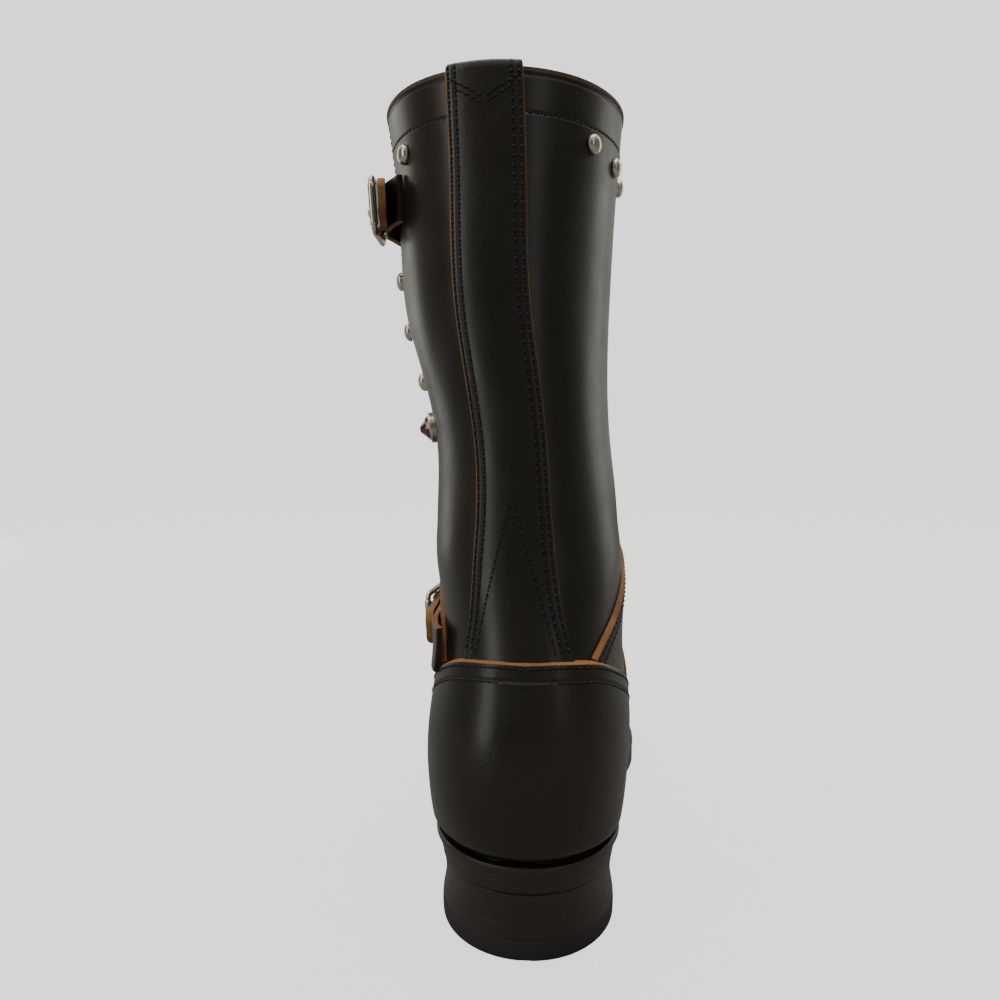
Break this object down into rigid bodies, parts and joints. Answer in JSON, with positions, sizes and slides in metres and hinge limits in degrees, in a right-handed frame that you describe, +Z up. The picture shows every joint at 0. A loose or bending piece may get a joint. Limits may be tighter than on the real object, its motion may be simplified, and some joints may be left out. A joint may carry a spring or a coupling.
{
  "type": "engineer boot",
  "caption": "Left engineer boot with a tall hollow leather shaft, raised counter, back stay with pull tab, buckled collar and instep straps, domed studs and a stacked heel.",
  "frame": {"origin": "on the floor at the centre of the heel's ground face", "axes": "+Z up out of the collar, +Y forwards to the toe, +X to the inner side of the foot"},
  "size_m": [0.1233, 0.3031, 0.3262],
  "materials": {
    "leather": "glossy",
    "heel_leather": "waxed",
    "insole_leather": "plain",
    "rubber": "matte",
    "nickel": "polished",
    "stone": "faceted"
  },
  "bodies": {
    "root": {"upper": "leather", "vamp": "leather", "counter": "leather", "back_stay": "leather", "top_strap": "leather", "top_chape": "leather", "instep_strap": "leather", "instep_chape": "leather", "welt": "heel_leather", "midsole": "heel_leather", "outsole": "heel_leather", "heel_lift_1": "heel_leather", "heel_lift_2": "heel_leather", "heel_lift_3": "heel_leather", "heel_cap": "rubber", "insole": "insole_leather", "top_buckle_frame": "nickel", "top_buckle_bar": "nickel", "top_buckle_prong": "nickel", "instep_buckle_frame": "nickel", "instep_buckle_bar": "nickel", "instep_buckle_prong": "nickel", "jewel_setting": "nickel", "stud_01": "nickel", "stud_02": "nickel", "stud_03": "nickel", "stud_04": "nickel", "stud_05": "nickel", "stud_06": "nickel", "stud_07": "nickel", "stud_08": "nickel", "stud_09": "nickel", "stud_10": "nickel", "stud_11": "nickel", "stud_12": "nickel", "stud_13": "nickel", "jewel": "stone"}
  },
  "joints": []
}
